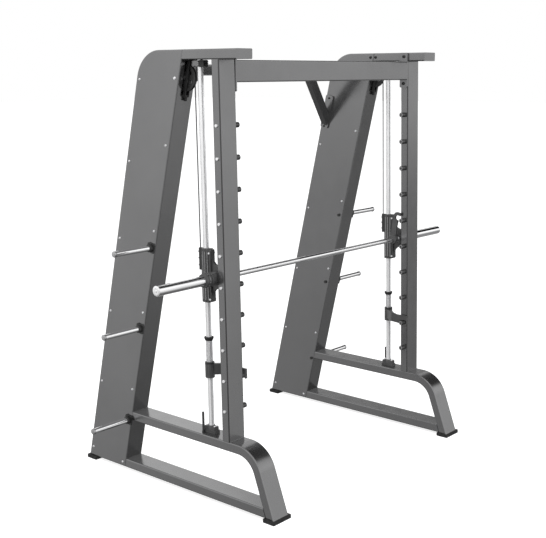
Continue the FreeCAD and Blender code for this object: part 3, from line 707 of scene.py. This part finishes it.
def make_sleeve_fittings():
    """A grooved ring at each sleeve's root, and a cap with a small boss on its end."""
    ring = rounds((0.0300, 0.0), (0.0338, 0.0010), (0.0346, 0.0040), (0.0346, 0.0125))
    ring += rounds((0.0338, 0.0140), (0.0338, 0.0165), (0.0346, 0.0180))
    ring += rounds((0.0346, 0.0310), (0.0336, 0.0345), (0.0256, 0.0352))
    cap = rounds((0.0225, 0.0), (0.0225, 0.0016), (0.0212, 0.0024), (0.0150, 0.0024))
    boss = rounds((0.0060, 0.0), (0.0060, 0.0010), (0.0048, 0.0016))
    for side, way in SIDES:
        out = Vector((way, 0, 0))
        bm = bmesh.new()
        base = Vector((way * (SLEEVE_IN - 0.0004), BAR_Y, BAR_Z))
        add_lathe(bm, base, out, ring, 40)
        piece("sleeve_root_ring_" + side, bm, "dark_casting", "bar")
        bm = bmesh.new()
        end = Vector((way * (SLEEVE_OUT - 0.0010), BAR_Y, BAR_Z))
        add_lathe(bm, end, out, cap, 32)
        add_lathe(bm, end + out * 0.0022, out, boss)
        piece("sleeve_end_cap_" + side, bm, "bright_screws", "bar")


def make_peg_faces():
    """A turned boss with a hexagonal socket on the tip of every rack peg."""
    profile = rounds((0.0112, -0.0004), (0.0112, 0.0006), (0.0104, 0.0012), (0.0066, 0.0012))
    profile += hexes((0.0060, 0.0006), (0.0058, -0.0060))
    bm = bmesh.new()
    for _, way in SIDES:
        out = Vector((-way, 0, 0))
        for number in range(PEG_COUNT):
            place = column_at(way * (SIDE_IN - PEG_REACH), PEG_T, PEG_TOP - PEG_PITCH * number)
            add_lathe(bm, place, out, profile)
    piece("peg_tip_faces", bm, "bearing_steel", "frame")


def make_carriage_clamps():
    """Cable clamp nuts, wiper rings and side ribs on each carriage housing."""
    nut = hexes((0.0042, 0.0), (0.0042, 0.0032)) + rounds((0.0030, 0.0040))
    wiper = rounds((0.0170, 0.0), (0.0182, 0.0012), (0.0182, 0.0070), (0.0160, 0.0090))
    for side, way in SIDES:
        x = way * SIDE_MID
        up = column_point(x, 0, 1) - column_point(x, 0, 0)
        back = column_point(x, 1, 0) - column_point(x, 0, 0)
        bm = bmesh.new()
        for s in (1.205, 1.240, 1.272):
            for u in (-0.0050, 0.0050):
                add_lathe(bm, column_point(x + u, 0.044, s), back, nut, 12)
        piece("cable_clamp_nuts_" + side, bm, "bright_screws", "carriage")
        bm = bmesh.new()
        for s in (1.0235, 1.2825):
            add_lathe(bm, column_point(x, 0, s), up, wiper, 32)
        piece("carriage_wiper_rings_" + side, bm, "rubber_black", "carriage")
        bm = bmesh.new()
        for turn in (-1, 1):
            for t in (-0.026, -0.009, 0.007):
                rib_x = x + math.sqrt(HOUSING_R ** 2 - max(t, 0.0) ** 2) * turn
                add_tube(bm, [column_point(rib_x, t, RIB_LOW), column_point(rib_x, t, RIB_TOP)], 0.0021, 8)
        piece("carriage_ribs_" + side, bm, "bearing_steel", "carriage")


# ---- Weld beads ----

def add_bead(bm, start, end, radius):
    """A fillet bead: short overlapping ripples between two points."""
    length = (end - start).length
    along = (end - start).normalized()
    count = max(4, int(length / 0.0035))
    profile = []
    for i in range(count + 1):
        swell = 1.0 if i % 2 else 0.82
        reach = radius * (swell if 0 < i < count else 0.55)
        profile += rounds((reach, length * i / count))
    add_lathe(bm, start, along, profile, 8)


def add_loop(bm, corners, radius):
    for start, end in zip(corners, corners[1:] + corners[:1]):
        add_bead(bm, start, end, radius)


def make_welds():
    """Beads round the ends of the crossbeams, braces, uprights and rails."""
    bm = bmesh.new()
    for _, way in SIDES:
        x = way * WELD_X
        front = [(-0.359, 2.094), (-0.359, 2.190), (-0.319, 2.190), (-0.319, 2.094)]
        add_loop(bm, [Vector((x, y, z)) for y, z in front], BEAM_BEAD)
        middle = [(-0.093, 2.125), (-0.093, 2.168), (-0.051, 2.168), (-0.051, 2.125)]
        add_loop(bm, [Vector((x, y, z)) for y, z in middle], TUBE_BEAD)
        rear = [(0.229, 2.132), (0.229, 2.170), (0.271, 2.170), (0.271, 2.132)]
        add_loop(bm, [tower_point(x, p, q) for p, q in rear], TUBE_BEAD)
        brace = [(0.243, 1.807), (0.243, 1.877), (0.277, 1.877), (0.277, 1.807)]
        add_loop(bm, [tower_point(x, p, q) for p, q in brace], TUBE_BEAD)
        post = ((0.735, -0.1735), (0.837, -0.1735), (0.837, -0.1265), (0.735, -0.1265))
        for z in (0.3484, 2.1956):
            add_loop(bm, [column_at(way * u, t, z) for u, t in post], POST_BEAD)
        for low in (0.018, 0.300, 2.196):
            corners = []
            for u, rise in ((0.736, 0.0015), (0.836, 0.0015), (0.836, 0.0465), (0.736, 0.0465)):
                z = low + rise
                corners.append(Vector((way * u, tower_y(-0.0006, z), z)))
            add_loop(bm, corners, POST_BEAD)
    piece("weld_beads", bm, "frame_paint", "frame")


# ---- Stage ----

def make_camera():
    scene = bpy.context.scene
    data = bpy.data.cameras.new("camera")
    data.sensor_width = 36.0
    data.lens = CAMERA_LENS
    camera = bpy.data.objects.new("camera", data)
    scene.collection.objects.link(camera)
    level = math.cos(CAMERA_DROP)
    ahead = (math.sin(CAMERA_HEADING) * level, math.cos(CAMERA_HEADING) * level, -math.sin(CAMERA_DROP))
    forward = Vector(ahead)
    right = forward.cross(Vector((0, 0, 1))).normalized()
    up = right.cross(forward)
    turned = right * math.cos(CAMERA_ROLL) + up * math.sin(CAMERA_ROLL)
    upright = up * math.cos(CAMERA_ROLL) - right * math.sin(CAMERA_ROLL)
    basis = Matrix((turned, upright, -forward)).transposed().to_4x4()
    camera.matrix_world = Matrix.Translation(CAMERA_PLACE) @ basis
    scene.camera = camera


def area_light(name, place, aim, size, power):
    data = bpy.data.lights.new(name, "AREA")
    data.shape = "RECTANGLE"
    data.size, data.size_y = size
    data.energy = power
    light = bpy.data.objects.new(name, data)
    light.location = place
    light.rotation_mode = "QUATERNION"
    light.rotation_quaternion = (Vector(aim) - Vector(place)).to_track_quat("-Z", "Y")
    bpy.context.scene.collection.objects.link(light)
    light.visible_glossy = False


def dark_patch(tree, direction, patch):
    """1 everywhere, easing down to the floor value within a cone round the direction."""
    toward, inner, outer, floor = patch
    dot = tree.nodes.new("ShaderNodeVectorMath")
    dot.operation = "DOT_PRODUCT"
    dot.inputs[1].default_value = Vector(toward).normalized()
    tree.links.new(direction, dot.inputs[0])
    ease = tree.nodes.new("ShaderNodeMapRange")
    ease.interpolation_type = "SMOOTHSTEP"
    ease.inputs["From Min"].default_value = math.cos(math.radians(outer))
    ease.inputs["From Max"].default_value = math.cos(math.radians(inner))
    ease.inputs["To Min"].default_value = 1.0
    ease.inputs["To Max"].default_value = floor
    tree.links.new(dot.outputs["Value"], ease.inputs["Value"])
    return ease.outputs["Result"]


def off_horizon(tree, height, patch, band):
    """Fade a patch in from band's first height to its second, so the horizon stays white."""
    gate = tree.nodes.new("ShaderNodeMapRange")
    gate.interpolation_type = "SMOOTHSTEP"
    gate.inputs["From Min"].default_value, gate.inputs["From Max"].default_value = band
    tree.links.new(height, gate.inputs["Value"])
    less = tree.nodes.new("ShaderNodeMath")
    less.operation = "SUBTRACT"
    tree.links.new(patch, less.inputs[0])
    less.inputs[1].default_value = 1.0
    kept = tree.nodes.new("ShaderNodeMath")
    kept.operation = "MULTIPLY_ADD"
    tree.links.new(less.outputs["Value"], kept.inputs[0])
    tree.links.new(gate.outputs["Result"], kept.inputs[1])
    kept.inputs[2].default_value = 1.0
    return kept.outputs["Value"]


def make_world():
    """White round the horizon, dark underfoot, with soft dark flags for edges and chrome."""
    world = bpy.data.worlds.new("studio")
    bpy.context.scene.world = world
    world.use_nodes = True
    tree = world.node_tree
    direction = tree.nodes.new("ShaderNodeTexCoord").outputs["Generated"]
    split = tree.nodes.new("ShaderNodeSeparateXYZ")
    tree.links.new(direction, split.inputs["Vector"])
    height = tree.nodes.new("ShaderNodeMapRange")
    height.inputs["From Min"].default_value = -1.0
    tree.links.new(split.outputs["Z"], height.inputs["Value"])
    ramp = tree.nodes.new("ShaderNodeValToRGB")
    tree.links.new(height.outputs["Result"], ramp.inputs["Fac"])
    elements = ramp.color_ramp.elements
    while len(elements) < len(WORLD_STOPS):
        elements.new(0.5)
    for element, (place, value) in zip(elements, WORLD_STOPS):
        element.position = place
        level = value / WORLD_PEAK
        element.color = (level, level, level, 1.0)
    factors = [dark_patch(tree, direction, OVERHEAD_FLAG)]
    for *flag, band in SIDE_FLAGS:
        factors.append(off_horizon(tree, split.outputs["Z"], dark_patch(tree, direction, flag), band))
    shade = ramp.outputs["Color"]
    for factor in factors:
        scale = tree.nodes.new("ShaderNodeVectorMath")
        scale.operation = "SCALE"
        tree.links.new(shade, scale.inputs[0])
        tree.links.new(factor, scale.inputs["Scale"])
        shade = scale.outputs["Vector"]
    tree.links.new(shade, tree.nodes["Background"].inputs["Color"])
    tree.nodes["Background"].inputs["Strength"].default_value = WORLD_PEAK


def make_floor():
    bm = bmesh.new()
    bmesh.ops.create_grid(bm, x_segments=1, y_segments=1, size=60.0)
    mesh = bpy.data.meshes.new("floor")
    bm.to_mesh(mesh)
    bm.free()
    floor = bpy.data.objects.new("floor", mesh)
    bpy.context.scene.collection.objects.link(floor)
    pale = Shader("pale_floor", grey(0.5), 1.0, Specular_IOR_Level=0.0, Emission_Strength=0.80)
    pale.tint(pale.noise(0.5), grey(0.48), grey(0.52))
    pale.bsdf.inputs["Emission Color"].default_value = (1.0, 1.0, 1.0, 1.0)
    mesh.materials.append(pale.material)
    floor.visible_diffuse = False
    floor.visible_glossy = False


def make_stage():
    bpy.context.scene.view_settings.view_transform = "Standard"
    make_world()
    make_floor()
    area_light("key", (-2.6, -2.6, 5.2), (0, 0, 1.3), (2.5, 2.5), KEY_POWER)
    area_light("top", (0.0, 0.0, 6.0), (0, 0, 0), (5.0, 5.0), TOP_POWER)


dress_nodes()
make_camera()
make_stage()
make_cover_screws()
make_frame_bolts()
make_springs()
make_cables()
make_rod_feet()
make_rod_heads()
make_axle_nuts()
make_horn_caps()
make_sleeve_fittings()
make_peg_faces()
make_carriage_clamps()
make_welds()
